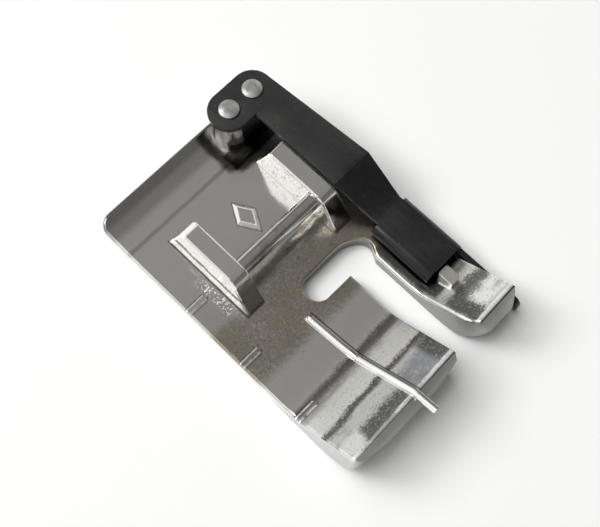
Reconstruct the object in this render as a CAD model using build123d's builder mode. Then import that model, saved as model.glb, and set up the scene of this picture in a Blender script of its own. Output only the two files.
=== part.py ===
from build123d import *
import os
from math import cos, radians, sin, sqrt, tan

# A clip-on presser foot for piecing with a narrow seam allowance, in millimetres.
# The origin lies on the flat sole, straight below the middle of the snap pin.
# +X is the sewer's right, +Y points to the rear of the machine and +Z is up.

# Sole plate
plate_thickness = 1.5
plate_left = 9.5
needle_offset = 3.65
needle_reach = 5.2
seam_allowance = 6.35
side_draft = 3.0
edge_round = 0.22
corner_round = 1.4

# Heel, which lifts behind the flat sole
heel_start = 8.1
heel_length = 4.1
heel_lift = 0.8
heel_thickness = 0.7
heel_rise_length = 1.5
heel_under_middle = 0.65
heel_under_end = 0.35

# Toes, measured forward from the needle line
toe_start = 4.6
toe_bend_radius = 4.0
toe_angle = 36.0
sole_front = 8.0
nose_height = 3.5
toe_reach = 12.85
toe_bow = 0.6
toe_corner = 1.3
right_toe_setback = 0.1
right_toe_corner = 2.6
right_toe_outer_corner = 1.4
slot_corner_share = 0.65
outer_corner_share = 0.3
crest_setback = 0.9
crest_skew = 2.0

# Needle opening and the slot between the toes
slot_left = 2.45
slot_right = 5.1
opening_left = -1.35
opening_rear = 1.6
opening_front = 0.9
opening_round = 1.1
opening_bulge = 0.75
opening_shoulder = 3.2
opening_turn = 1.1
slot_entry = 1.4

# Ears that carry the snap pin
ear_gap = 8.3
ear_base_width = 2.0
ear_top_width = 1.67
ear_height = 4.2
ear_base_front = 2.7
ear_base_rear = 6.9
ear_top_front = 0.9
ear_top_rear = 5.2
ear_nose_round = 1.15
ear_heel_round = 0.5
ear_edge_round = 0.2

# Snap pin
pin_diameter = 1.5
pin_height = 4.6
pin_seat_depth = 1.2
pin_chamfer = 0.12
press_gap = 0.01

# Seam ridge with its pointer, on the left toe
ridge_radius = 0.36
ridge_start = 1.2
ridge_skew = 3.0
pointer_overhang = 1.0
pointer_drop = 0.15

# Quarter-inch marks on the left edge and the raised lozenge between the ears
mark_width = 0.6
mark_top_width = 0.25
mark_height = 0.24
mark_length = 2.0
lozenge_length = 3.5
lozenge_width = 2.1
lozenge_height = 0.3
lozenge_draft = 40.0
lozenge_place = 3.8
relief_root = 0.2

# Stop lug on the right toe
lug_left = 6.9
lug_width = 1.1
lug_rear = 6.3
lug_length = 1.5
lug_top = 3.7

# Rivets and the boss under them
rivet_pitch = 2.7
rivet_line = 10.25
inner_rivet = 4.6
rivet_head_diameter = 1.75
rivet_head_height = 0.36
rivet_dome_reach = 0.64
rivet_dome_rise = 0.86
rivet_shank_diameter = 1.1
rivet_depth = 2.4
boss_height = 4.0
boss_radius = 1.62
boss_draft = 4.0

# Spring guide of bent strip
sheet = 0.5
lobe_radius = 1.85
strip_rear_left = 5.92
strip_front_left = 5.95
strip_front_right = 9.95
upper_bend = 4.5
lower_bend = 0.7
slope_foot_left = 7.0
channel_top = 2.9
channel_left = 6.2
channel_rear = -0.3
channel_front = 5.95
channel_lip = 0.95
sheet_bend_radius = 0.75
slope_bend_radius = 1.0
fence_clearance = 0.15
fence_lift = 0.05
fence_height = 1.95
fence_setback = 0.2
fence_round_share = 0.45

# Margins for picking faces and edges by their place and lean
near = 0.01
near_rim = 0.1
upward = 0.6
along = 0.9

# Places worked out from the sizes above
needle_y = -needle_reach
fence_inner = needle_offset + seam_allowance
plate_right = fence_inner - fence_clearance
rear_y = heel_start + heel_length
boss_top = plate_thickness + boss_height
outer_rivet = inner_rivet + rivet_pitch
toe_run = toe_bend_radius * sin(radians(toe_angle))
toe_rise = toe_bend_radius * (1 - cos(radians(toe_angle)))
past_front = toe_reach + 1
right_toe_reach = toe_reach - right_toe_setback
right_toe_width = plate_right - slot_right
slot_corner_round = min(right_toe_corner, slot_corner_share * right_toe_width)
outer_corner_round = min(right_toe_outer_corner, outer_corner_share * right_toe_width)
crest_reach = toe_reach - crest_setback
pointer_reach = toe_reach + pointer_overhang
fence_tip = toe_reach - fence_setback
mark_steps = (-seam_allowance, 0, seam_allowance)


def ahead(distance):
    """Y of a place so far forward of the needle line."""
    return needle_y - distance


def toe_height(distance):
    """Height of the toes' upper surface so far forward of the needle line."""
    past = min(max(distance - toe_start, 0), toe_run)
    ramp_run = max(distance - toe_start - toe_run, 0)
    bend_rise = toe_bend_radius - sqrt(toe_bend_radius ** 2 - past ** 2)
    return plate_thickness + bend_rise + ramp_run * tan(radians(toe_angle))


# Foot base: sole plate, toes, heel, ears, boss, ridge and marks in one casting
with BuildPart() as foot_base:
    with BuildSketch(Plane.YZ.offset(-plate_left)) as side_profile:
        with BuildLine():
            heel_top = TangentArc(
                (heel_start, plate_thickness),
                (rear_y, plate_thickness + heel_lift),
                tangent=(1, 0),
            )
            lip = Line(heel_top @ 1, heel_top @ 1 - (0, heel_thickness))
            heel_under = ThreePointArc(
                lip @ 1,
                heel_top @ heel_under_middle - (0, heel_thickness),
                (heel_start + heel_rise_length, (heel_top @ heel_under_end).Y - heel_thickness),
            )
            heel_foot = TangentArc((heel_start, 0), heel_under @ 1, tangent=(1, 0))
            sole = Line(heel_foot @ 0, (ahead(sole_front), 0))
            toe_under = TangentArc(sole @ 1, (ahead(toe_reach), nose_height), tangent=(-1, 0))
            nose = Line(toe_under @ 1, (ahead(past_front), nose_height))
            front = Line(nose @ 1, (ahead(past_front), toe_height(past_front)))
            ramp_start = toe_start + toe_run
            ramp = Line(front @ 1, (ahead(ramp_start), toe_height(ramp_start)))
            bend = TangentArc((ahead(toe_start), plate_thickness), ramp @ 1, tangent=(-1, 0))
            Line(bend @ 0, heel_top @ 0)
        make_face()
    extrude(amount=plate_left + plate_right)

    with BuildSketch() as plan:
        with BuildLine():
            left_side = Line((-plate_left, ahead(toe_reach - toe_bow)), (-plate_left, rear_y))
            rear_side = Line(left_side @ 1, (plate_right, rear_y))
            right_side = Line(rear_side @ 1, (plate_right, ahead(right_toe_reach)))
            right_front = Line(right_side @ 1, (slot_right, ahead(right_toe_reach)))
            across = Line(right_front @ 1, (slot_left, ahead(toe_reach - toe_bow)))
            ThreePointArc(
                across @ 1,
                ((slot_left - plate_left) / 2, ahead(toe_reach)),
                left_side @ 0,
            )
        make_face()
        with BuildSketch(mode=Mode.SUBTRACT) as opening:
            with BuildLine():
                slot_side = Line((slot_right, ahead(past_front)), (slot_right, ahead(slot_entry)))
                flare = Line(slot_side @ 1, (slot_right + opening_bulge, needle_y))
                shoulder = TangentArc(
                    (opening_shoulder, ahead(-opening_rear)), flare @ 1, tangent=(1, 0)
                )
                Polyline(
                    shoulder @ 0,
                    (opening_left, ahead(-opening_rear)),
                    (opening_left, ahead(opening_front)),
                    (slot_left, ahead(opening_front)),
                    (slot_left, ahead(past_front)),
                    slot_side @ 0,
                )
            make_face()
            end_corners = opening.vertices().group_by(Axis.X)[0]
            fillet(end_corners, opening_round)
            fillet(opening.vertices().group_by(Axis.X)[-1], opening_turn)
        fillet(plan.vertices().group_by(Axis.Y)[-1], corner_round)
        left_corner = plan.vertices().sort_by_distance((-plate_left, ahead(toe_reach)))[0]
        fillet(left_corner, toe_corner)
        slot_corner = plan.vertices().sort_by_distance((slot_right, ahead(right_toe_reach)))[0]
        fillet(slot_corner, slot_corner_round)
        outer_corner = plan.vertices().sort_by_distance((plate_right, ahead(right_toe_reach)))[0]
        fillet(outer_corner, outer_corner_round)
    extrude(amount=toe_height(past_front), mode=Mode.INTERSECT)

    # The toes' front face leans back from the nose to the crest
    crest_plane = Plane(
        origin=(-plate_left, ahead(toe_reach), 0),
        x_dir=(-sin(radians(crest_skew)), cos(radians(crest_skew)), 0),
        z_dir=(cos(radians(crest_skew)), sin(radians(crest_skew)), 0),
    )
    with BuildSketch(crest_plane):
        with BuildLine():
            Polyline(
                (-crest_setback, 2 * nose_height - toe_height(toe_reach)),
                (crest_setback, toe_height(toe_reach)),
                (-past_front, toe_height(past_front)),
                (-past_front, 2 * nose_height - toe_height(toe_reach)),
                close=True,
            )
        make_face()
    extrude(amount=2 * (plate_left + plate_right), both=True, mode=Mode.SUBTRACT)

    # The left side wall leans in toward the top
    with BuildSketch(Plane.XZ):
        with BuildLine():
            Polyline(
                (-plate_left, 0),
                (-plate_left + past_front * tan(radians(side_draft)), past_front),
                (-plate_left - past_front, past_front),
                (-plate_left - past_front, 0),
                close=True,
            )
        make_face()
    extrude(amount=2 * past_front + rear_y, both=True, mode=Mode.SUBTRACT)

    # Upper rim, broken all round
    upper_faces = foot_base.faces().filter_by(lambda face: face.normal_at().Z > upward)
    rim = ShapeList()
    for edge in upper_faces.edges():
        runs_across = abs(edge.tangent_at(0.5).X) > 1 - near
        inside = ahead(toe_start + toe_run) - near_rim < edge.center().Y < heel_start + near_rim
        in_opening = abs(edge.center().Y - needle_y) < opening_rear + near_rim
        if not (runs_across and inside and not in_opening):
            rim.append(edge)
    fillet(rim, edge_round)

    # Boss under the spring guide's riveted end
    boss_middle = ((inner_rivet + outer_rivet) / 2, rivet_line)
    with BuildSketch(Plane.XY.offset(plate_thickness)):
        with Locations(boss_middle):
            SlotCenterToCenter(rivet_pitch, 2 * boss_radius)
    extrude(amount=boss_height, taper=boss_draft)
    with Locations((inner_rivet, rivet_line, boss_top), (outer_rivet, rivet_line, boss_top)):
        Hole(rivet_shank_diameter / 2 + press_gap, depth=rivet_depth)

    # Ears, drafted on their outer, front and rear faces
    for side in (-1, 1):
        base_middle = side * (ear_gap + ear_base_width) / 2
        top_middle = side * (ear_gap + ear_top_width) / 2
        with BuildSketch(Plane.XY.offset(plate_thickness)):
            with Locations((base_middle, (ear_base_rear - ear_base_front) / 2)):
                Rectangle(ear_base_width, ear_base_rear + ear_base_front)
        with BuildSketch(Plane.XY.offset(plate_thickness + ear_height)):
            with Locations((top_middle, (ear_top_rear - ear_top_front) / 2)):
                Rectangle(ear_top_width, ear_top_rear + ear_top_front)
        loft()
    ear_tops = foot_base.faces().filter_by(Axis.Z).group_by(Axis.Z)[-1]
    across_tops = ear_tops.edges().filter_by(Axis.X)
    fillet(across_tops.group_by(Axis.Y)[0], ear_nose_round)
    ear_tops = foot_base.faces().filter_by(Axis.Z).group_by(Axis.Z)[-1]
    fillet(ear_tops.edges().filter_by(Axis.X).group_by(Axis.Y)[-1], ear_heel_round)
    ear_rims = foot_base.edges().filter_by(
        lambda edge: edge.center().Z > plate_thickness + near
        and ear_gap / 2 - near < abs(edge.center().X) < ear_gap / 2 + ear_base_width + near
        and -ear_base_front - near < edge.center().Y < ear_base_rear + near
        and abs(edge.tangent_at(0.5).X) < along
    )
    fillet(ear_rims, ear_edge_round)
    with Locations((0, 0, pin_height)):
        Cylinder(
            pin_diameter / 2 + press_gap,
            ear_gap + 2 * pin_seat_depth,
            rotation=(0, 90, 0),
            mode=Mode.SUBTRACT,
        )

    # Stop lug on the right toe
    with BuildSketch(Plane.XY.offset(plate_thickness)):
        with Locations((lug_left + lug_width / 2, ahead(lug_rear + lug_length / 2))):
            RectangleRounded(lug_width, lug_length, edge_round)
    extrude(amount=lug_top - plate_thickness)

    # Marks across the left edge, a seam allowance apart, on the toe's curve too
    for step in mark_steps:
        foot_half = mark_width / 2
        top_half = mark_top_width / 2
        with BuildSketch(Plane.YZ.offset(-plate_left + edge_round)):
            with BuildLine():
                Polyline(
                    (ahead(step - foot_half), toe_height(step - foot_half) - relief_root),
                    (ahead(step - foot_half), toe_height(step - foot_half)),
                    (ahead(step - top_half), toe_height(step - top_half) + mark_height),
                    (ahead(step + top_half), toe_height(step + top_half) + mark_height),
                    (ahead(step + foot_half), toe_height(step + foot_half)),
                    (ahead(step + foot_half), toe_height(step + foot_half) - relief_root),
                    close=True,
                )
            make_face()
        extrude(amount=mark_length)

    # Raised lozenge between the ears
    with BuildSketch(Plane.XY.offset(plate_thickness)):
        with BuildLine():
            Polyline(
                (0, lozenge_place - lozenge_length / 2),
                (lozenge_width / 2, lozenge_place),
                (0, lozenge_place + lozenge_length / 2),
                (-lozenge_width / 2, lozenge_place),
                close=True,
            )
        make_face()
    extrude(amount=lozenge_height, taper=lozenge_draft)

    # Seam ridge, a round rib that follows the toe and runs out into a pointer
    ridge_plane = Plane(
        origin=(needle_offset - seam_allowance, needle_y, 0),
        x_dir=(sin(radians(ridge_skew)), -cos(radians(ridge_skew)), 0),
        z_dir=(-cos(radians(ridge_skew)), -sin(radians(ridge_skew)), 0),
    )
    toe_break = toe_start + toe_bend_radius * tan(radians(toe_angle / 2))
    pointer_height = toe_height(crest_reach) - pointer_drop
    level_reach = toe_break + (pointer_height - plate_thickness) / tan(radians(toe_angle))
    with BuildLine(ridge_plane) as ridge_path:
        Polyline(
            (ridge_start, plate_thickness),
            (toe_break, plate_thickness),
            (level_reach, pointer_height),
            (pointer_reach, pointer_height),
        )
        toe_turn = ridge_plane.from_local_coords((toe_break, plate_thickness))
        fillet(ridge_path.vertices().sort_by_distance(toe_turn)[0], toe_bend_radius)
    with BuildSketch(Plane(origin=ridge_path.line @ 0, z_dir=ridge_path.line % 0)):
        Circle(ridge_radius)
    sweep(path=ridge_path.line, transition=Transition.RIGHT)
    with Locations(ridge_path.line @ 0):
        Sphere(ridge_radius)

foot_base.part.label = "foot_base"


# Snap pin, its ends seated in both ears
with BuildPart() as snap_pin:
    with Locations((0, 0, pin_height)):
        Cylinder(pin_diameter / 2, ear_gap + 2 * pin_seat_depth - 2 * press_gap, rotation=(0, 90, 0))
    chamfer(snap_pin.edges().filter_by(GeomType.CIRCLE), pin_chamfer)
snap_pin.part.label = "snap_pin"


# Spring guide: riveted strip, slope, channel over the right toe and the fence
with BuildPart() as edge_guide:
    with BuildSketch(Plane.YZ.offset(channel_left)):
        with BuildLine() as strip_line:
            Polyline(
                (rivet_line + lobe_radius, boss_top + sheet),
                (ahead(-upper_bend), boss_top + sheet),
                (ahead(-lower_bend), channel_top),
                (ahead(channel_front / 2), channel_top),
            )
            bends = strip_line.vertices().sort_by(Axis.Y)[1:-1]
            fillet(bends, slope_bend_radius)
            offset(amount=sheet, side=Side.LEFT)
        make_face()
    extrude(amount=plate_left + fence_inner, both=True)
    with BuildSketch() as strip_plan:
        with Locations(((inner_rivet + outer_rivet) / 2, rivet_line)):
            SlotCenterToCenter(rivet_pitch, 2 * lobe_radius)
        with BuildLine():
            Polyline(
                (strip_rear_left, rivet_line),
                (strip_front_left, ahead(-upper_bend)),
                (slope_foot_left, ahead(-lower_bend)),
                (slope_foot_left, ahead(channel_front / 2)),
                (fence_inner, ahead(channel_front / 2)),
                (fence_inner, ahead(-lower_bend)),
                (strip_front_right, ahead(-upper_bend)),
                (outer_rivet + lobe_radius, rivet_line),
                close=True,
            )
        make_face()
        elbows = strip_plan.vertices().filter_by(
            lambda vertex: abs(vertex.Y - ahead(-upper_bend)) < sheet
        )
        fillet(elbows, slope_bend_radius)
    extrude(amount=boss_top + 2 * sheet, mode=Mode.INTERSECT)

    with BuildSketch(Plane.XZ.offset(-ahead(channel_rear))):
        with BuildLine() as channel_line:
            Polyline(
                (channel_left, channel_top - channel_lip),
                (channel_left, channel_top),
                (fence_inner + sheet, channel_top),
                (fence_inner + sheet, fence_lift),
            )
            shoulders = channel_line.vertices().group_by(Axis.Y)[-1]
            fillet(shoulders, sheet_bend_radius)
            offset(amount=sheet, side=Side.RIGHT)
        make_face()
    extrude(amount=channel_front - channel_rear)

    with BuildSketch(Plane.YZ.offset(fence_inner)) as fence_face:
        with BuildLine():
            Polyline(
                (ahead(channel_front - sheet), fence_lift),
                (ahead(channel_front - sheet), fence_lift + fence_height),
                (ahead(fence_tip), fence_lift + fence_height),
                (ahead(fence_tip), fence_lift),
                close=True,
            )
        make_face()
        fillet(fence_face.vertices().group_by(Axis.X)[0], fence_height * fence_round_share)
    extrude(amount=sheet)
    with Locations((inner_rivet, rivet_line, boss_top + sheet), (outer_rivet, rivet_line, boss_top + sheet)):
        Hole(rivet_shank_diameter / 2 + press_gap, depth=2 * sheet)
edge_guide.part.label = "edge_guide"


# Rivets, low domed heads on short shanks
rivet_parts = {}
for rivet_name, rivet_x in (("rivet_inner", inner_rivet), ("rivet_outer", outer_rivet)):
    head_base = boss_top + sheet
    with BuildPart() as rivet:
        with BuildSketch(Plane.XZ.offset(-rivet_line)):
            with BuildLine():
                Polyline(
                    (rivet_x + rivet_head_diameter / 2, head_base + rivet_head_height / 2),
                    (rivet_x + rivet_head_diameter / 2, head_base),
                    (rivet_x + rivet_shank_diameter / 2, head_base),
                    (rivet_x + rivet_shank_diameter / 2, boss_top - rivet_depth + press_gap),
                    (rivet_x, boss_top - rivet_depth + press_gap),
                    (rivet_x, head_base + rivet_head_height),
                )
                ThreePointArc(
                    (rivet_x, head_base + rivet_head_height),
                    (
                        rivet_x + rivet_head_diameter / 2 * rivet_dome_reach,
                        head_base + rivet_head_height * rivet_dome_rise,
                    ),
                    (rivet_x + rivet_head_diameter / 2, head_base + rivet_head_height / 2),
                )
            make_face()
        revolve(axis=Axis((rivet_x, rivet_line, 0), (0, 0, 1)))
    rivet.part.label = rivet_name
    rivet_parts[rivet_name] = rivet.part


os.makedirs("parts", exist_ok=True)
export_step(foot_base.part, "parts/foot_base.step")
export_step(snap_pin.part, "parts/snap_pin.step")
export_step(edge_guide.part, "parts/edge_guide.step")
export_step(rivet_parts["rivet_inner"], "parts/rivet_inner.step")
export_step(rivet_parts["rivet_outer"], "parts/rivet_outer.step")
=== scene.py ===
"""Looks of a clip-on presser foot with a spring edge guide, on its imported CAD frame."""

import logging
import math
from dataclasses import dataclass, field
from enum import Enum
from typing import Any

import bmesh
import bpy
from mathutils import Matrix, Vector


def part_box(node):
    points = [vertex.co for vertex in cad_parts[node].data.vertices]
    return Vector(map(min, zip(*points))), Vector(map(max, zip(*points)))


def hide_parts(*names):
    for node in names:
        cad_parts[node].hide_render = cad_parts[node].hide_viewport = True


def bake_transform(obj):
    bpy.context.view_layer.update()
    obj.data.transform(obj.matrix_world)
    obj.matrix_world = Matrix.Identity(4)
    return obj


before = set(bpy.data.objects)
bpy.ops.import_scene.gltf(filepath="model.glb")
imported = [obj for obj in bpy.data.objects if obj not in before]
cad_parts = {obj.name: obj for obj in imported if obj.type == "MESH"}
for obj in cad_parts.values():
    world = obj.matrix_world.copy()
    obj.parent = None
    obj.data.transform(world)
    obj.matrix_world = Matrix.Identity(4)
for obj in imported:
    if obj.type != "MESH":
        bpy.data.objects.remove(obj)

MM = 0.001
Colour = tuple[float, float, float]
Place = tuple[float, float, float]
Span = tuple[float, float]
WHITE: Colour = (1.0, 1.0, 1.0)

logging.basicConfig(level=logging.INFO, format="%(message)s")
log = logging.getLogger("presser_foot")


class Body(Enum):
    """The rigid bodies of the frame."""

    FOOT = "foot"
    GUIDE = "guide"


class Slot(Enum):
    """Material slots of the record."""

    CHROME = "chrome_casting"
    PIN = "pin_steel"
    BLACK = "black_spring_steel"
    RIVET = "rivet_metal"


class Sig:
    """A shader socket with arithmetic, so that masks read as plain maths.

    Args:
        tree: The node tree that the socket is in.
        socket: The output socket.
    """

    def __init__(self, tree: bpy.types.NodeTree, socket: bpy.types.NodeSocket) -> None:
        """Keeps the tree and the socket."""
        self.tree = tree
        self.socket = socket

    def _math(self, operation: str, *values: Any) -> "Sig":
        """Adds a Math node.

        Args:
            operation: The node's operation.
            values: Its inputs in order, as signals or numbers.

        Returns:
            The node's result.
        """
        made = self.tree.nodes.new("ShaderNodeMath")
        made.operation = operation
        for place, value in enumerate(values):
            if isinstance(value, Sig):
                self.tree.links.new(value.socket, made.inputs[place])
            else:
                made.inputs[place].default_value = float(value)
        return Sig(self.tree, made.outputs[0])

    def __add__(self, other: Any) -> "Sig":
        """Returns: This signal plus the other."""
        return self._math("ADD", self, other)

    def __radd__(self, other: Any) -> "Sig":
        """Returns: The other plus this signal."""
        return self._math("ADD", other, self)

    def __sub__(self, other: Any) -> "Sig":
        """Returns: This signal less the other."""
        return self._math("SUBTRACT", self, other)

    def __rsub__(self, other: Any) -> "Sig":
        """Returns: The other less this signal."""
        return self._math("SUBTRACT", other, self)

    def __mul__(self, other: Any) -> "Sig":
        """Returns: This signal times the other."""
        return self._math("MULTIPLY", self, other)

    def __rmul__(self, other: Any) -> "Sig":
        """Returns: The other times this signal."""
        return self._math("MULTIPLY", other, self)

    def __truediv__(self, other: Any) -> "Sig":
        """Returns: This signal over the other."""
        return self._math("DIVIDE", self, other)

    def __rtruediv__(self, other: Any) -> "Sig":
        """Returns: The other over this signal."""
        return self._math("DIVIDE", other, self)

    def size(self) -> "Sig":
        """Returns: The signal without its sign."""
        return self._math("ABSOLUTE", self)

    def sine(self) -> "Sig":
        """Returns: The sine of the signal in radians."""
        return self._math("SINE", self)

    def power(self, exponent: float) -> "Sig":
        """Returns: The signal raised to a power."""
        return self._math("POWER", self, exponent)

    def least(self, other: Any) -> "Sig":
        """Returns: The smaller of two signals."""
        return self._math("MINIMUM", self, other)

    def most(self, other: Any) -> "Sig":
        """Returns: The larger of two signals."""
        return self._math("MAXIMUM", self, other)

    def ramp(self, low: float, high: float) -> "Sig":
        """Returns: A smooth step from 0 at low to 1 at high."""
        made = self.tree.nodes.new("ShaderNodeMapRange")
        made.interpolation_type = "SMOOTHSTEP"
        self.tree.links.new(self.socket, made.inputs["Value"])
        made.inputs["From Min"].default_value = low
        made.inputs["From Max"].default_value = high
        return Sig(self.tree, made.outputs["Result"])

    def band(self, low: float, high: float, soft: float) -> "Sig":
        """Returns: 1 between low and high, falling to 0 over the soft width."""
        return self.ramp(low - soft, low + soft) - self.ramp(high - soft, high + soft)


class Graph:
    """One node tree, with a single method that adds a node.

    Args:
        tree: The tree to fill. It is emptied first.
    """

    def __init__(self, tree: bpy.types.NodeTree) -> None:
        """Keeps the tree and empties it."""
        self.tree = tree
        tree.nodes.clear()

    def node(
        self, kind: str, settings: dict[str, Any] | None = None, **inputs: Any
    ) -> bpy.types.Node:
        """Adds a node.

        Args:
            kind: The node's type without the ShaderNode prefix.
            settings: Attributes of the node.
            inputs: Input name to value or signal. An underscore stands for a space.

        Returns:
            The new node.
        """
        made = self.tree.nodes.new("ShaderNode" + kind)
        for name, value in (settings or {}).items():
            setattr(made, name, value)
        for name, value in inputs.items():
            self.plug(made.inputs[name.replace("_", " ")], value)
        return made

    def plug(self, target: bpy.types.NodeSocket, value: Any) -> None:
        """Links a signal to a socket, or sets the socket's constant.

        Args:
            target: The input socket.
            value: A signal, an output socket, a colour or a number.
        """
        if isinstance(value, Sig):
            self.tree.links.new(value.socket, target)
        elif isinstance(value, bpy.types.NodeSocket):
            self.tree.links.new(value, target)
        elif isinstance(value, tuple) and len(value) == 3 and target.type == "RGBA":
            target.default_value = (*value, 1.0)
        else:
            target.default_value = value

    def place(self) -> tuple[Sig, Sig, Sig]:
        """Returns: X, Y and Z in millimetres, in the row frame."""
        coordinates = self.node("TexCoord")
        parts = self.node("SeparateXYZ", Vector=coordinates.outputs["Object"])
        return tuple(Sig(self.tree, parts.outputs[k]) * (1 / MM) for k in range(3))

    def noise(
        self,
        size: float,
        detail: float = 3.0,
        stretch: Place = (1.0, 1.0, 1.0),
        roughness: float = 0.5,
    ) -> Sig:
        """Adds noise in object coordinates.

        Args:
            size: Width of one lump, in millimetres.
            detail: Octaves.
            stretch: Scale along each axis.
            roughness: Strength of the finer octaves.

        Returns:
            The noise, about 0 to 1.
        """
        coordinates = self.node("TexCoord")
        mapping = self.node("Mapping", Vector=coordinates.outputs["Object"], Scale=stretch)
        made = self.node(
            "TexNoise",
            Vector=mapping.outputs["Vector"],
            Scale=1 / (size * MM),
            Detail=detail,
            Roughness=roughness,
        )
        return Sig(self.tree, made.outputs["Fac"])

    def blend(self, share: Sig, low: Any, high: Any) -> bpy.types.NodeSocket:
        """Adds a colour mix.

        Args:
            share: How much of the high colour shows.
            low: The colour at share 0.
            high: The colour at share 1.

        Returns:
            The mixed colour.
        """
        made = self.node("Mix", {"data_type": "RGBA", "clamp_factor": True})
        self.plug(made.inputs[0], share)
        self.plug(made.inputs[6], low)
        self.plug(made.inputs[7], high)
        return made.outputs[2]

    def bump(self, height: Sig, distance: float, strength: float) -> bpy.types.NodeSocket:
        """Returns: A normal from a height, with its distance in millimetres."""
        made = self.node("Bump", Height=height, Distance=distance * MM, Strength=strength)
        return made.outputs["Normal"]


@dataclass(frozen=True)
class Finish:
    """What every finish shares."""

    name: str = "finish"
    shade_and_dirt_tone: Colour = (0.03, 0.03, 0.029)

    def open(self) -> tuple[bpy.types.Material, Graph]:
        """Returns: A new material and its empty graph."""
        material = bpy.data.materials.new(self.name)
        material.use_nodes = True
        return material, Graph(material.node_tree)

    def close(self, graph: Graph, shade_and_dirt: Sig | None = None, **inputs: Any) -> None:
        """Adds the Principled node and the output.

        Args:
            graph: The finish's graph.
            shade_and_dirt: Where a matt dark cover lies on the finish, for painted shade and
                painted dark reflections as well as grime.
            inputs: Principled input name to value or signal.
        """
        surface = graph.node("BsdfPrincipled", **inputs).outputs["BSDF"]
        # The matt dark cover stands for painted shade and painted dark reflections, and for
        # grime.
        if shade_and_dirt is not None:
            matt = graph.node("BsdfDiffuse", Color=self.shade_and_dirt_tone)
            cover = graph.node("MixShader")
            for place, value in enumerate((shade_and_dirt, surface, matt.outputs["BSDF"])):
                graph.plug(cover.inputs[place], value)
            surface = cover.outputs["Shader"]
        graph.node("OutputMaterial", Surface=surface)


@dataclass(frozen=True)
class Tint:
    """A tone, and the most of it that a layer lays down."""

    tone: Colour
    share: float = 1.0


@dataclass(frozen=True)
class Patch:
    """One area of painted reflection or painted shadow on the casting, lighter or darker than
    the chrome, in millimetres along Y and X, with a ragged edge.
    """

    low: float
    high: float
    tone: Colour
    left: float = -30.0
    right: float = 30.0
    soft: float = 0.2
    share: float = 0.95
    ragged: float = 1.0


@dataclass(frozen=True)
class Stripe:
    """One line of painted highlight, painted shade or plain tone along the seam ridge, in
    millimetres across it.
    """

    left: float
    right: float
    soft: float
    tint: Tint


@dataclass(frozen=True)
class Ground:
    """The places, masks and noises that the casting's layers share, in millimetres."""

    graph: Graph
    x: Sig
    y: Sig
    z: Sig
    depth: Sig
    crest: Sig
    skin: Sig
    low_skin: Sig
    toes: Sig
    cloud: Sig
    ripple: Sig
    grain: Sig
    speck: Sig
    shift: Sig

    def lay(self, colour: Any, mask: Sig, tint: Tint) -> Any:
        """Returns: The colour, with a tint over it where the mask is 1."""
        return self.graph.blend(mask * tint.share, colour, tint.tone)


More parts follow.
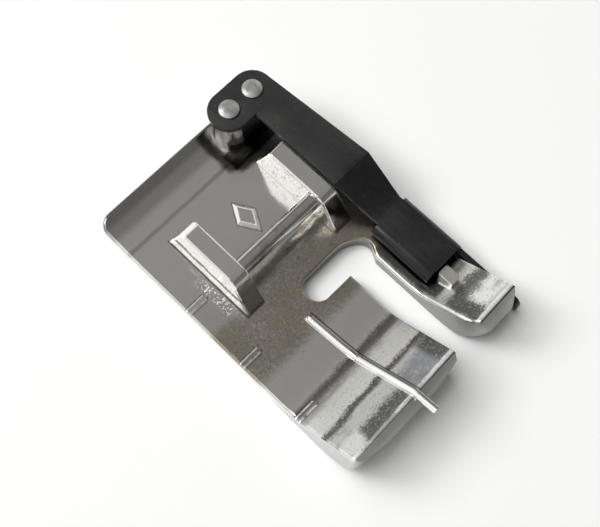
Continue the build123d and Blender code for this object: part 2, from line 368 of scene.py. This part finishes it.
@dataclass(frozen=True)
class ChromeCasting(Finish):
    """Chrome plate over a slightly uneven die casting, with painted reflections, painted
    highlights and painted shade laid into its colour.

    Places are in millimetres of the row frame. A pair is the start and the end of a
    soft edge, or the two ends of a band.
    """

    name: str = "chrome_casting"
    clean: Colour = (0.735, 0.722, 0.69)
    worn: Colour = (0.365, 0.33, 0.27)
    deep: Colour = (0.05, 0.049, 0.046)
    smooth: float = 0.07
    rough: float = 0.24
    polish: float = 0.04
    wear_rough: float = 0.06
    satin_rough: float = 0.35
    toe_rough: float = 0.26
    bump_depth: float = 0.07
    bump_strength: float = 0.6

    needle_reach: float = 5.2
    thickness: float = 1.5
    toe_start: float = 4.6
    bend_radius: float = 4.0
    toe_angle: float = 36.0
    plate_left: float = -9.5
    plate_top: Span = (1.4, 1.5)
    crest_skew: float = 0.035
    skin_depth: Span = (0.34, 0.24)
    skin_top: Span = (2.35, 2.5)

    worn_front: float = -7.5
    worn_rear: float = -1.5
    worn_soft: float = 0.9
    wear_heights: Span = (1.75, 2.3)
    wear_depths: Span = (0.6, 0.3)
    wear_onset: Span = (0.1, 1.0)
    wear_share: float = 0.75
    haze_along: Span = (4.5, -4.0)
    haze_soft: float = 1.0
    haze_share: float = 0.3

    # Painted shade on the slot's walls, the left toe's flank and the toes' front faces, the
    # faces lighter low down.
    wall_depths: Span = (0.22, 0.32)
    wall_along: Span = (0.6, 0.0)
    wall_across: Span = (-3.0, 8.5)
    wall_shade_tint: Tint = Tint((0.17, 0.169, 0.165), 0.95)
    flank_depths: Span = (0.4, 0.6)
    flank_along: Span = (-8.0, -11.0)
    flank_across: Span = (-7.9, -8.3)
    flank_shade_tint: Tint = Tint((0.40, 0.398, 0.39), 0.9)
    face_along: Span = (-17.25, -17.4)
    face_heights: Span = (3.4, 5.2)
    face_low: Colour = (0.27, 0.268, 0.262)
    face_high: Colour = (0.12, 0.119, 0.115)
    face_share: float = 0.9

    toe_along: Span = (-11.2, -12.0)
    toe_tip: Span = (-17.4, -17.3)
    # Painted reflections: light and dark flecks in the toes' bands, and dark spots across the
    # crest.
    fleck_light: Tint = Tint((0.92, 0.92, 0.915), 0.32)
    fleck_dark: Tint = Tint(deep, 0.4)
    dent_along: Span = (-13.6, -14.6)
    dent_reflection_tint: Tint = Tint((0.16, 0.16, 0.157), 0.45)
    bright_spot_along: Span = (-1.4, 2.6)
    bright_spot_across: Span = (-7.3, -6.35)

    mark_steps: tuple[float, ...] = (1.15, -5.2, -11.55)
    mark_end: float = -7.5
    mark_soft: float = 0.03
    # Painted shade round the marks, and a painted highlight on their slopes.
    mark_slope: Span = (0.14, 0.30)
    mark_outline: Span = (0.30, 0.42)
    mark_shade_tint: Tint = Tint(deep, 0.6)

    # Painted highlight on the stop lug's left wall and painted shade on its top.
    lug_along: Span = (-13.05, -11.45)
    lug_foot: Span = (2.0, 2.1)
    lug_wall: Span = (6.8, 7.02)
    lug_wall_highlight: Tint = Tint((1.0, 1.0, 0.99))
    lug_across: Span = (7.0, 8.1)
    lug_top: Span = (3.5, 3.65)
    lug_top_shade: Tint = Tint((0.50, 0.47, 0.42))

    ridge_place: float = -2.7
    ridge_skew: float = 0.0524
    ridge_along: Span = (-19.2, -6.0)
    ridge_tip: Span = (-17.05, -16.9)
    ridge_tip_top: Span = (5.0, 5.1)
    # Painted highlight on the ridge's left flank and painted shade on its right.
    ridge_light_and_shade: tuple[Stripe, ...] = (
        Stripe(-0.36, 0.36, 0.02, Tint(clean)),
        Stripe(-0.40, 0.02, 0.05, Tint((1.0, 1.0, 0.995), 0.95)),
        Stripe(0.08, 0.20, 0.04, Tint(deep, 0.85)),
        Stripe(0.30, 0.50, 0.06, Tint(deep, 0.75)),
    )

    ear_inner: Span = (3.95, 4.24)
    ear_outer: Span = (5.78, 6.28)
    ear_left: Span = (0.5, -0.5)
    ear_along: Span = (-2.6, 7.0)
    ear_foot: Span = (1.6, 1.8)
    # Painted reflection on the ears' flanks.
    ear_flank_reflection: Tint = Tint((0.95, 0.95, 0.945), 0.95)
    ear_end: Span = (4.75, 5.6)
    ear_end_top: Span = (5.1, 5.3)
    ear_end_left: Span = (0.0, -1.0)
    root_across: Span = (6.09, 6.24)
    root_along: Span = (-2.75, 6.95)
    root_heights: Span = (1.4, 1.8)
    # Painted shade at the left ear's outer root and a painted dark reflection line on its
    # flank.
    root_shade: float = 0.65
    line_heights: Span = (3.1, 3.65)
    line_dark_reflection: float = 0.75
    streak_dark: float = 0.35
    dot_dirt: float = 0.45

    lozenge_place: float = 3.8
    lozenge_half_length: float = 1.75
    lozenge_half_width: float = 1.05
    lozenge_top: Span = (1.95, 2.1)
    lozenge_shade: Span = (1.0, 1.12)
    lozenge_shade_tint: Tint = Tint(deep, 0.45)
    lozenge_rim: Span = (0.64, 0.98)
    lozenge_rim_highlight: Tint = Tint(WHITE, 0.95)

    # Painted reflections on the toes: light and dark bands where the bent toes mirror the
    # studio, with painted highlights along the crest and the right toe's edge.
    toe_painted_reflections: tuple[Patch, ...] = (
        Patch(-12.35, -11.1, (0.32, 0.31, 0.285), right=4.0, soft=0.35, share=0.9, ragged=1.4),
        Patch(-13.7, -12.45, (0.72, 0.725, 0.69), right=4.0, soft=0.25),
        Patch(-14.6, -14.05, (0.09, 0.09, 0.086), right=4.0),
        Patch(-15.75, -14.7, (0.56, 0.562, 0.55), right=4.0, soft=0.3),
        Patch(-17.4, -15.8, (0.74, 0.74, 0.74), left=-9.8, right=-7.3, soft=0.4),
        Patch(-17.2, -15.85, (0.10, 0.10, 0.096), left=-7.2, right=-2.3, soft=0.35, ragged=1.4),
        Patch(-17.3, -15.1, (0.31, 0.322, 0.345), left=-2.3, right=1.2, soft=0.5, ragged=1.6),
        Patch(-17.2, -14.5, (0.10, 0.10, 0.097), left=1.0, right=2.7, soft=0.4, ragged=1.4),
        Patch(-13.2, -6.5, (0.12, 0.12, 0.115), left=5.5, right=7.2, soft=0.2, ragged=0.8),
        Patch(-14.0, -13.2, (0.66, 0.66, 0.63), left=5.3, soft=0.25),
        Patch(-17.2, -14.0, (0.09, 0.09, 0.087), left=5.3, right=6.9, soft=0.35, ragged=1.5),
        Patch(-15.1, -14.05, (0.12, 0.12, 0.117), left=6.5, soft=0.25, ragged=1.5),
        Patch(-16.8, -15.25, (0.88, 0.88, 0.88), left=7.0, soft=0.3),
        Patch(-17.3, -16.95, (0.42, 0.42, 0.415), left=6.9),
        Patch(-17.7, -5.0, WHITE, left=5.0, right=5.36, soft=0.04, ragged=0.08),
        Patch(-17.34, -16.98, (1.0, 1.0, 0.995), soft=0.06, share=0.75, ragged=0.4),
    )
    # Painted dark reflections across the heel's bend, and a painted shadow and reflection of
    # the guide between the boss and the right ear.
    plate_painted_reflections: tuple[Patch, ...] = (
        Patch(8.15, 8.5, (0.42, 0.41, 0.39), right=2.6, soft=0.14, share=0.8, ragged=0.25),
        Patch(9.9, 10.9, (0.46, 0.455, 0.44), soft=0.4, share=0.9, ragged=0.3),
        Patch(10.9, 13.0, (0.29, 0.286, 0.275), soft=0.5, share=0.95, ragged=0.3),
        Patch(7.5, 9.3, (0.07, 0.07, 0.068), left=2.5, right=7.4, soft=0.12, ragged=0.5),
    )

    def make(self) -> bpy.types.Material:
        """Returns: The material."""
        material, graph = self.open()
        ground = self.survey(graph)
        colour, wear = self.plate(ground)
        colour = self.painted_patches(ground, colour)
        colour = self.painted_side_shade(ground, colour)
        colour, slopes = self.marks(ground, colour)
        # Painted highlight: white on the marks' slopes, on bright spots beside the left ear and
        # on that ear's end; the same mask roughens the chrome.
        satin_highlight = self.bright_spots_and_end(ground).most(slopes)
        colour = ground.lay(colour, satin_highlight, Tint(WHITE))
        colour = self.flecks(ground, colour)
        colour = self.lug(ground, colour)
        colour = self.ridge(ground, colour)
        colour, shade_and_dirt = self.ears(ground, colour)
        colour, rim = self.lozenge(ground, colour)
        pits = ground.speck.ramp(0.60, 0.70) * (wear * 0.7 + 0.06)
        colour = ground.lay(colour, pits, Tint(self.deep))
        roughness = ground.grain * (self.rough - self.smooth) + wear * self.wear_rough
        roughness = roughness + rim.most(satin_highlight) * self.satin_rough
        roughness = roughness + ground.toes * self.toe_rough + (self.smooth - self.polish)
        lumps = graph.noise(2.4, detail=2.0) + ground.ripple * 0.25
        lumps = lumps + ground.grain * (wear * 0.3 + 0.09) + ground.speck * 0.04
        self.close(
            graph,
            shade_and_dirt,
            Base_Color=colour,
            Metallic=1.0,
            Roughness=roughness,
            Normal=graph.bump(lumps, self.bump_depth, self.bump_strength),
        )
        return material

    def survey(self, graph: Graph) -> Ground:
        """Works out what the layers share.

        Args:
            graph: The finish's graph.

        Returns:
            The shared places, masks and noises.
        """
        x, y, z = graph.place()
        depth = self.depth(y, z)
        crest = y - (x - self.plate_left) * self.crest_skew
        skin = depth.ramp(*self.skin_depth)
        ripple = graph.noise(1.1, detail=3.0, stretch=(0.6, 1.0, 1.0))
        grain = graph.noise(0.20, detail=4.0, roughness=0.7)
        return Ground(
            graph=graph,
            x=x,
            y=y,
            z=z,
            depth=depth,
            crest=crest,
            skin=skin,
            low_skin=skin * (1.0 - z.ramp(*self.skin_top)),
            toes=y.ramp(*self.toe_along) * skin * crest.ramp(*self.toe_tip),
            cloud=graph.noise(4.5, detail=4.0),
            ripple=ripple,
            grain=grain,
            speck=graph.noise(0.13, detail=2.0),
            shift=(ripple - 0.5) * 0.7 + (grain - 0.5) * 0.95,
        )

    def depth(self, y: Sig, z: Sig) -> Sig:
        """Returns: How far a place lies below the plate's and the toes' upper surface."""
        turn = math.radians(self.toe_angle)
        ahead = -self.needle_reach - y
        run = self.bend_radius * math.sin(turn)
        past = (ahead - self.toe_start).most(0.0).least(run)
        more = (ahead - (self.toe_start + run)).most(0.0)
        bend = self.bend_radius - (self.bend_radius**2 - past * past).power(0.5)
        return bend + more * math.tan(turn) + self.thickness - z

    def plate(self, ground: Ground) -> tuple[Any, Sig]:
        """Wears the plating brown in front of the ears, with a haze round it.

        Args:
            ground: The shared signals.

        Returns:
            The casting's first colour, and where it is worn.
        """
        y = ground.y
        low = (1.0 - ground.z.ramp(*self.wear_heights)) * ground.depth.ramp(*self.wear_depths)
        wear = y.band(self.worn_front, self.worn_rear, self.worn_soft) * low
        haze = y.ramp(*self.haze_along)
        haze = haze * y.ramp(self.worn_front - self.haze_soft, self.worn_front + self.haze_soft)
        mottle = (ground.cloud - 0.5) * 0.8 + (ground.grain - 0.5) * 1.9
        brown = (wear * (mottle + 0.85)).ramp(*self.wear_onset) * self.wear_share
        share = haze * low * self.haze_share + brown
        return ground.graph.blend(share, self.clean, self.worn), wear

    def painted_patches(self, ground: Ground, colour: Any) -> Any:
        """Lays painted reflections and painted shadow in areas on the toes and the plate.

        Args:
            ground: The shared signals.
            colour: The colour below.

        Returns:
            The colour with the patches on it.
        """
        for run, skin, painted_patches in (
            (ground.crest, ground.skin, self.toe_painted_reflections),
            (ground.y, ground.low_skin, self.plate_painted_reflections),
        ):
            for patch in painted_patches:
                nudge = ground.shift * patch.ragged
                along = (run + nudge).band(patch.low, patch.high, patch.soft)
                across = (ground.x + nudge).band(patch.left, patch.right, patch.soft)
                tint = Tint(patch.tone, patch.share)
                colour = ground.lay(colour, along * across * skin, tint)
        return colour

    def painted_side_shade(self, ground: Ground, colour: Any) -> Any:
        """Paints shade on the slot's walls, the left toe's flank and the toes' front faces.

        Args:
            ground: The shared signals.
            colour: The colour below.

        Returns:
            The colour with the sides on it.
        """
        x, y, depth = ground.x, ground.y, ground.depth
        wall = depth.ramp(*self.wall_depths) * y.ramp(*self.wall_along)
        wall = wall * x.band(*self.wall_across, 1.0)
        colour = ground.lay(colour, wall, self.wall_shade_tint)
        flank = depth.ramp(*self.flank_depths) * y.ramp(*self.flank_along)
        flank = flank * x.ramp(*self.flank_across)
        colour = ground.lay(colour, flank, self.flank_shade_tint)
        height = ground.z.ramp(*self.face_heights)
        tone = ground.graph.blend(height, self.face_low, self.face_high)
        face = ground.crest.ramp(*self.face_along) * self.face_share
        return ground.graph.blend(face, colour, tone)

    def bright_spots_and_end(self, ground: Ground) -> Sig:
        """Returns: The mask of bright spots on the plate beside the left ear and of the painted
        highlight on that ear's end.
        """
        x, y, shift = ground.x, ground.y, ground.shift
        bright_spots = (y + shift).band(*self.bright_spot_along, 0.4)
        bright_spots = bright_spots * (x + shift * 0.6).band(*self.bright_spot_across, 0.25) * ground.low_skin
        bright_spots = bright_spots * ground.speck.ramp(0.50, 0.58) * ground.grain.ramp(0.46, 0.56)
        end = y.band(*self.ear_end, 0.08) * ground.z.ramp(*self.ear_end_top)
        return bright_spots.most(end * x.ramp(*self.ear_end_left))

    def flecks(self, ground: Ground, colour: Any) -> Any:
        """Breaks the toes' painted reflections up with light and dark flecks, and lays dark
        painted reflections in spots across the crest.

        Args:
            ground: The shared signals.
            colour: The colour below.

        Returns:
            The colour with the flecks on it.
        """
        grain, toes = ground.grain, ground.toes
        colour = ground.lay(colour, grain.ramp(0.52, 0.68) * toes, self.fleck_light)
        colour = ground.lay(colour, (1.0 - grain).ramp(0.54, 0.70) * toes, self.fleck_dark)
        dent_reflections = (ground.ripple + (grain - 0.5) * 0.6).ramp(0.52, 0.66) * toes
        return ground.lay(colour, dent_reflections * ground.crest.ramp(*self.dent_along), self.dent_reflection_tint)

    def ridge(self, ground: Ground, colour: Any) -> Any:
        """Sets the seam ridge off from the toe with a painted highlight on its left flank and
        painted shade on its right.

        Args:
            ground: The shared signals.
            colour: The colour below.

        Returns:
            The colour with the ridge on it.
        """
        x, y, z = ground.x, ground.y, ground.z
        across = x - self.ridge_place - (-self.needle_reach - y) * self.ridge_skew
        run = y.band(*self.ridge_along, 0.1) * z.ramp(*self.plate_top)
        run = run * y.ramp(*self.ridge_tip).most(z.ramp(*self.ridge_tip_top))
        for stripe in self.ridge_light_and_shade:
            line = across.band(stripe.left, stripe.right, stripe.soft)
            colour = ground.lay(colour, line * run, stripe.tint)
        return colour

    def marks(self, ground: Ground, colour: Any) -> tuple[Any, Sig]:
        """Paints shade on the plate beside the marks on the left edge and masks their slopes.

        Args:
            ground: The shared signals.
            colour: The colour below.

        Returns:
            The colour with the painted shade on it, and the mask of the slopes, which get a
            painted highlight.
        """
        near = (ground.y - self.mark_steps[0]).size()
        for step in self.mark_steps[1:]:
            near = near.least((ground.y - step).size())
        run = ground.x.ramp(self.mark_end + 0.1, self.mark_end)
        run = run * ground.z.ramp(*self.plate_top) * ground.grain.ramp(0.36, 0.48)
        outline = near.band(*self.mark_outline, self.mark_soft) * run
        colour = ground.lay(colour, outline, self.mark_shade_tint)
        return colour, near.band(*self.mark_slope, self.mark_soft) * run

    def lug(self, ground: Ground, colour: Any) -> Any:
        """Paints shade on the stop lug's flat top and a highlight on its left wall.

        Args:
            ground: The shared signals.
            colour: The colour below.

        Returns:
            The colour with the lug on it.
        """
        x, z = ground.x, ground.z
        block = ground.y.band(*self.lug_along, 0.03) * z.ramp(*self.lug_foot)
        colour = ground.lay(colour, x.band(*self.lug_wall, 0.03) * block, self.lug_wall_highlight)
        top = x.band(*self.lug_across, 0.05) * z.ramp(*self.lug_top)
        return ground.lay(colour, top * block, self.lug_top_shade)

    def ears(self, ground: Ground, colour: Any) -> tuple[Any, Sig]:
        """Paints a bright reflection on the left ear's outer flank and the ears' inner flanks,
        with painted shade at the left ear's outer root, a painted dark reflection line across
        that flank, and dark streaks and grime specks.

        Args:
            ground: The shared signals.
            colour: The colour below.

        Returns:
            The colour with the flanks on it, and where the matt dark cover lies for the painted
            shade, the painted dark reflection and the grime.
        """
        y, z, shift = ground.y, ground.z, ground.shift
        wide = ground.x.size()
        run = y.band(*self.ear_along, 0.1) * z.ramp(*self.ear_foot)
        left = ground.x.ramp(*self.ear_left)
        outer = wide.band(*self.ear_outer, 0.05) * run * left
        inner = wide.band(*self.ear_inner, 0.03) * run
        flank = outer.most(inner)
        colour = ground.lay(colour, flank, self.ear_flank_reflection)
        root = (wide + shift * 0.12).band(*self.root_across, 0.03)
        root = root * y.band(*self.root_along, 0.05) * z.band(*self.root_heights, 0.05)
        line = (z + shift * 1.1).band(*self.line_heights, 0.15) * outer
        streak = ground.graph.noise(0.4, detail=4.0, stretch=(1.0, 0.7, 0.5), roughness=0.7)
        streak = streak.ramp(0.55, 0.62) * inner
        dots = ground.speck.ramp(0.58, 0.64) * flank
        shade_and_dirt = (root * left * self.root_shade).most(line * self.line_dark_reflection)
        return colour, shade_and_dirt.most(streak * self.streak_dark).most(dots * self.dot_dirt)

    def lozenge(self, ground: Ground, colour: Any) -> tuple[Any, Sig]:
        """Paints a highlight on the raised lozenge's rim and shade on the plate round it.

        Args:
            ground: The shared signals.
            colour: The colour below.

        Returns:
            The colour with the rim on it, and the rim's mask.
        """
        reach = ground.x.size() / self.lozenge_half_width
        reach = reach + (ground.y - self.lozenge_place).size() / self.lozenge_half_length
        reach = reach + (ground.grain - 0.5) * 0.25
        low = 1.0 - ground.z.ramp(*self.lozenge_top)
        shade = reach.band(*self.lozenge_shade, 0.05) * low
        rim = reach.band(*self.lozenge_rim, 0.04) * low
        colour = ground.lay(colour, shade, self.lozenge_shade_tint)
        return ground.lay(colour, rim, self.lozenge_rim_highlight), rim


@dataclass(frozen=True)
class PolishedPin(Finish):
    """Drawn steel wire, with faint marks round it."""

    name: str = "pin_steel"
    bright: Colour = (0.54, 0.53, 0.50)
    dull: Colour = (0.20, 0.195, 0.18)
    smooth: float = 0.08
    line_rough: float = 0.12

    def make(self) -> bpy.types.Material:
        """Returns: The material."""
        material, graph = self.open()
        lines = graph.noise(0.25, detail=3.0, stretch=(2.5, 0.15, 0.15))
        stain = graph.noise(1.6, detail=3.0)
        self.close(
            graph,
            Base_Color=graph.blend(stain.ramp(0.5, 0.8), self.bright, self.dull),
            Metallic=1.0,
            Roughness=lines * self.line_rough + self.smooth,
            Normal=graph.bump(lines, 0.006, 0.6),
        )
        return material


@dataclass(frozen=True)
class BlackOxide(Finish):
    """Satin black finish on bent strip, worn thin in places, with its flat arm painted lighter
    where it faces the light.
    """

    name: str = "black_spring_steel"
    black: Colour = (0.011, 0.011, 0.0115)
    rubbed_and_lit: Colour = (0.036, 0.036, 0.035)
    dust: Tint = Tint((0.22, 0.21, 0.2), 0.4)
    wear_share: float = 0.55
    lit_arm_start: Span = (-1.0, 1.0)
    lit_arm_share: float = 0.45
    smooth: float = 0.16
    grain_rough: float = 0.18
    haze_rough: float = 0.1
    ior: float = 1.4

    def make(self) -> bpy.types.Material:
        """Returns: The material."""
        material, graph = self.open()
        along = graph.place()[1]
        haze = graph.noise(3.0, detail=4.0)
        grain = graph.noise(0.09, detail=3.0, roughness=0.6)
        fibre = graph.noise(0.35, detail=3.0, stretch=(1.0, 0.12, 1.0))
        wear = (haze * 0.6 + fibre * 0.4).ramp(0.42, 0.72)
        dust = graph.noise(0.22, detail=1.0).ramp(0.74, 0.8) * self.dust.share
        # Painted light: the flat arm is lighter where it faces the light; the noise is wear.
        share = wear * self.wear_share + along.ramp(*self.lit_arm_start) * self.lit_arm_share
        tone = graph.blend(share, self.black, self.rubbed_and_lit)
        self.close(
            graph,
            Base_Color=graph.blend(dust, tone, self.dust.tone),
            Metallic=0.0,
            Roughness=grain * self.grain_rough + haze * self.haze_rough + self.smooth,
            IOR=self.ior,
            Normal=graph.bump(grain * 0.5 + fibre * 0.5, 0.012, 0.5),
        )
        return material


@dataclass(frozen=True)
class SatinRivet(Finish):
    """Peened rivet head, pressed in rings about its own middle."""

    name: str = "rivet_metal"
    middle: Span = (0.0, 0.0)
    bright: Colour = (0.46, 0.46, 0.45)
    dull: Colour = (0.27, 0.27, 0.265)
    ring_rate: float = 26.0
    smooth: float = 0.28
    grain_rough: float = 0.22

    def make(self) -> bpy.types.Material:
        """Returns: The material."""
        material, graph = self.open()
        x, y = graph.place()[:2]
        reach = ((x - self.middle[0]).power(2.0) + (y - self.middle[1]).power(2.0)).power(0.5)
        rings = (reach * self.ring_rate).sine() * 0.5 + 0.5
        grain = graph.noise(0.12, detail=3.0)
        blotch = graph.noise(0.6, detail=3.0)
        self.close(
            graph,
            Base_Color=graph.blend(blotch.ramp(0.4, 0.75), self.bright, self.dull),
            Metallic=1.0,
            Roughness=grain * self.grain_rough + self.smooth,
            Normal=graph.bump(rings * 0.3 + grain * 0.7, 0.01, 0.5),
        )
        return material


def dress(obj: bpy.types.Object, material: bpy.types.Material) -> None:
    """Gives a piece one material.

    Args:
        obj: The piece.
        material: Its finish.
    """
    if obj.data.materials:
        for place in range(len(obj.data.materials)):
            obj.data.materials[place] = material
    else:
        obj.data.materials.append(material)


def round_shading(mesh: bpy.types.Mesh, angle: float) -> None:
    """Shades a mesh smooth, except over edges sharper than an angle.

    Args:
        mesh: The mesh.
        angle: The angle in degrees.
    """
    for polygon in mesh.polygons:
        polygon.use_smooth = True
    mesh.set_sharp_from_angle(angle=math.radians(angle))


@dataclass
class Casting:
    """The chromed base, as packed."""

    finish: ChromeCasting = field(default_factory=ChromeCasting)

    def build(self) -> bpy.types.Object:
        """Returns: The dressed CAD node."""
        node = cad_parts["foot_base"]
        dress(node, self.finish.make())
        return node


@dataclass
class SnapPin:
    """The cross pin, as packed."""

    finish: PolishedPin = field(default_factory=PolishedPin)

    def build(self) -> bpy.types.Object:
        """Returns: The dressed CAD node."""
        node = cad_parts["snap_pin"]
        dress(node, self.finish.make())
        return node


@dataclass
class Rivets:
    """The two rivets, as packed, each with rings about its own middle."""

    names: tuple[str, str] = ("rivet_inner", "rivet_outer")

    def build(self) -> list[bpy.types.Object]:
        """Returns: The dressed CAD nodes."""
        made = []
        for name in self.names:
            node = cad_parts[name]
            low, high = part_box(name)
            middle = ((low.x + high.x) / 2 / MM, (low.y + high.y) / 2 / MM)
            finish = SatinRivet(name=name + "_metal", middle=middle)
            dress(node, finish.make())
            made.append(node)
        return made


@dataclass
class SpringGuide:
    """The black guide, rebuilt from the CAD node with its edges rounded and its arm cut across.

    Lengths are in millimetres and angles in degrees.
    """

    edge: float = 0.07
    edge_segments: int = 2
    step: float = 0.75
    bend_rear: float = 8.4
    bend_front: float = -0.7
    merge_distance: float = 0.0005
    cut_tolerance: float = 0.0001
    flat_angle: float = 0.5
    sharp_angle: float = 50.0
    shade_angle: float = 38.0
    finish: BlackOxide = field(default_factory=BlackOxide)

    def build(self) -> bpy.types.Object:
        """Returns: The rebuilt guide, which stands for the CAD node."""
        mesh = self.mesh()
        round_shading(mesh, self.shade_angle)
        obj = bpy.data.objects.new("spring_guide", mesh)
        bpy.context.scene.collection.objects.link(obj)
        dress(obj, self.finish.make())
        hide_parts("edge_guide")
        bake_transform(obj)
        return obj

    def mesh(self) -> bpy.types.Mesh:
        """Returns: The CAD node's shape, with its edges rounded and its arm cut across."""
        shape = bmesh.new()
        shape.from_mesh(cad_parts["edge_guide"].data)
        bmesh.ops.remove_doubles(shape, verts=shape.verts, dist=self.merge_distance * MM)
        bmesh.ops.dissolve_limit(
            shape,
            angle_limit=math.radians(self.flat_angle),
            verts=shape.verts,
            edges=shape.edges,
            use_dissolve_boundaries=False,
        )
        limit = math.radians(self.sharp_angle)
        joined = [edge for edge in shape.edges if len(edge.link_faces) == 2]
        bmesh.ops.bevel(
            shape,
            geom=[edge for edge in joined if edge.calc_face_angle() > limit],
            offset=self.edge * MM,
            offset_type="OFFSET",
            affect="EDGES",
            segments=self.edge_segments,
            profile=0.5,
            material=-1,
            clamp_overlap=True,
        )
        cut = self.bend_front
        while cut < self.bend_rear:
            bmesh.ops.bisect_plane(
                shape,
                geom=[*shape.verts, *shape.edges, *shape.faces],
                plane_co=(0, cut * MM, 0),
                plane_no=(0, 1, 0),
                dist=self.cut_tolerance * MM,
            )
            cut += self.step
        bmesh.ops.recalc_face_normals(shape, faces=shape.faces)
        mesh = bpy.data.meshes.new("spring_guide")
        shape.to_mesh(mesh)
        shape.free()
        return mesh


@dataclass
class Studio:
    """White paper, one large lamp from the rear left and a world with three parts.

    The world is white for the camera, a shaded surround for reflections and one soft
    source above the rear left for matt surfaces. Lengths are in millimetres, the lens in
    millimetres of focal length, and the roll in degrees.
    """

    floor_size: float = 900.0
    floor_drop: float = 0.02
    paper_tone: Colour = (0.90, 0.90, 0.90)
    paper_lift: float = 0.06
    sky_tone: Colour = (1.0, 0.995, 0.985)
    source_way: Place = (-0.25, 0.42, 0.872)
    source_edge: Span = (0.83, 0.97)
    source_strength: float = 4.6
    source_rest: float = 0.06
    panel_strength: float = 1.2
    lamp_place: Place = (-85.0, 125.0, 150.0)
    lamp_size: float = 72.0
    lamp_power: float = 0.13
    eye: Place = (-20.3, -22.4, 84.6)
    target: Place = (0.20, -2.38, 1.5)
    roll: float = 0.2
    lens: float = 63.0
    sensor: float = 36.0
    near: float = 1.0
    far: float = 10000.0

    def floor(self) -> bpy.types.Object:
        """Returns: The paper that the foot lies on."""
        mesh = bpy.data.meshes.new("paper")
        shape = bmesh.new()
        bmesh.ops.create_grid(shape, x_segments=1, y_segments=1, size=self.floor_size / 2 * MM)
        bmesh.ops.translate(shape, verts=shape.verts, vec=(0, 0, -self.floor_drop * MM))
        shape.to_mesh(mesh)
        shape.free()
        paper = bpy.data.objects.new("paper", mesh)
        bpy.context.scene.collection.objects.link(paper)
        mesh.materials.append(self.paper())
        return paper

    def paper(self) -> bpy.types.Material:
        """Returns: Matt paper, lifted to white for the camera and for reflections."""
        material = bpy.data.materials.new("paper")
        material.use_nodes = True
        graph = Graph(material.node_tree)
        rays = graph.node("LightPath")
        camera = Sig(graph.tree, rays.outputs["Is Camera Ray"])
        mirrored = Sig(graph.tree, rays.outputs["Is Glossy Ray"])
        matt = graph.node("BsdfDiffuse", Color=self.paper_tone)
        glow = graph.node("Emission", Color=WHITE, Strength=self.paper_lift)
        lifted = graph.node("AddShader")
        graph.plug(lifted.inputs[0], matt.outputs[0])
        graph.plug(lifted.inputs[1], glow.outputs[0])
        seen = graph.node("MixShader")
        graph.plug(seen.inputs[0], camera.most(mirrored))
        graph.plug(seen.inputs[1], matt.outputs[0])
        graph.plug(seen.inputs[2], lifted.outputs[0])
        graph.node("OutputMaterial", Surface=seen.outputs[0])
        return material

    def surround(self) -> None:
        """Fills the world: white for the camera, shaded for reflections, soft for the rest."""
        world = bpy.data.worlds.new("studio")
        bpy.context.scene.world = world
        world.use_nodes = True
        graph = Graph(world.node_tree)
        direction = graph.node("TexCoord")
        parts = graph.node("SeparateXYZ", Vector=direction.outputs["Generated"])
        dx, dy, dz = (Sig(graph.tree, parts.outputs[k]) for k in range(3))
        rays = graph.node("LightPath")
        seen = Sig(graph.tree, rays.outputs["Is Camera Ray"])
        mirrored = Sig(graph.tree, rays.outputs["Is Glossy Ray"])
        wx, wy, wz = self.source_way
        source = (dx * wx + dy * wy + dz * wz).ramp(*self.source_edge)
        source = source * self.source_strength + self.source_rest
        level = self.reflected(dx, dy, dz) * mirrored + source * (1.0 - mirrored)
        strength = level * (1.0 - seen) + seen
        sky = graph.node("Background", Color=self.sky_tone, Strength=strength)
        graph.node("OutputWorld", Surface=sky.outputs[0])

    def reflected(self, dx: Sig, dy: Sig, dz: Sig) -> Sig:
        """Works out how bright the surround is where metal reflects it.

        Args:
            dx: The direction's share to the right.
            dy: The direction's share to the rear.
            dz: The direction's share upward.

        Returns:
            The surround's strength.
        """
        panel = dx.ramp(0.0, -0.16) * dy.ramp(-0.3, 0.0) * dz.ramp(0.70, 0.82)
        up = dz.ramp(0.50, 0.90)
        front = (dx * 0.5 - dy).ramp(0.30, 0.80) * dz.band(0.10, 0.80, 0.12)
        shelf = dz.band(0.40, 0.78, 0.07) * dy.ramp(0.35, 0.6)
        level = (0.92 - up * 0.62) * (1.0 - front * 0.80) * (1.0 - shelf * 0.72)
        return level.most(panel * self.panel_strength)

    def lamp(self) -> bpy.types.Object:
        """Returns: The large soft lamp."""
        data = bpy.data.lights.new("softbox", "AREA")
        data.shape = "SQUARE"
        data.size = self.lamp_size * MM
        data.energy = self.lamp_power
        lamp = bpy.data.objects.new("softbox", data)
        bpy.context.scene.collection.objects.link(lamp)
        lamp.location = Vector(self.lamp_place) * MM
        lamp.rotation_euler = (-lamp.location).to_track_quat("-Z", "Y").to_euler()
        return lamp

    def camera(self) -> bpy.types.Object:
        """Returns: The camera at the photograph's angle."""
        data = bpy.data.cameras.new("camera")
        data.lens = self.lens
        data.sensor_width = self.sensor
        data.clip_start = self.near * MM
        data.clip_end = self.far * MM
        camera = bpy.data.objects.new("camera", data)
        bpy.context.scene.collection.objects.link(camera)
        eye, target = Vector(self.eye) * MM, Vector(self.target) * MM
        turn = (target - eye).to_track_quat("-Z", "Y").to_matrix().to_4x4()
        roll = Matrix.Rotation(math.radians(self.roll), 4, "Z")
        camera.matrix_world = Matrix.Translation(eye) @ turn @ roll
        bpy.context.scene.camera = camera
        return camera


def main() -> None:
    """Builds every piece in order."""
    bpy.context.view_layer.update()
    for piece in (Casting(), SnapPin(), Rivets(), SpringGuide()):
        made = piece.build()
        for obj in made if isinstance(made, list) else [made]:
            log.info("%s: %s faces", obj.name, len(obj.data.polygons))
    studio = Studio()
    studio.floor()
    studio.surround()
    studio.lamp()
    studio.camera()
    scene = bpy.context.scene
    scene.view_settings.view_transform = "Standard"


if __name__ == "__main__":
    main()
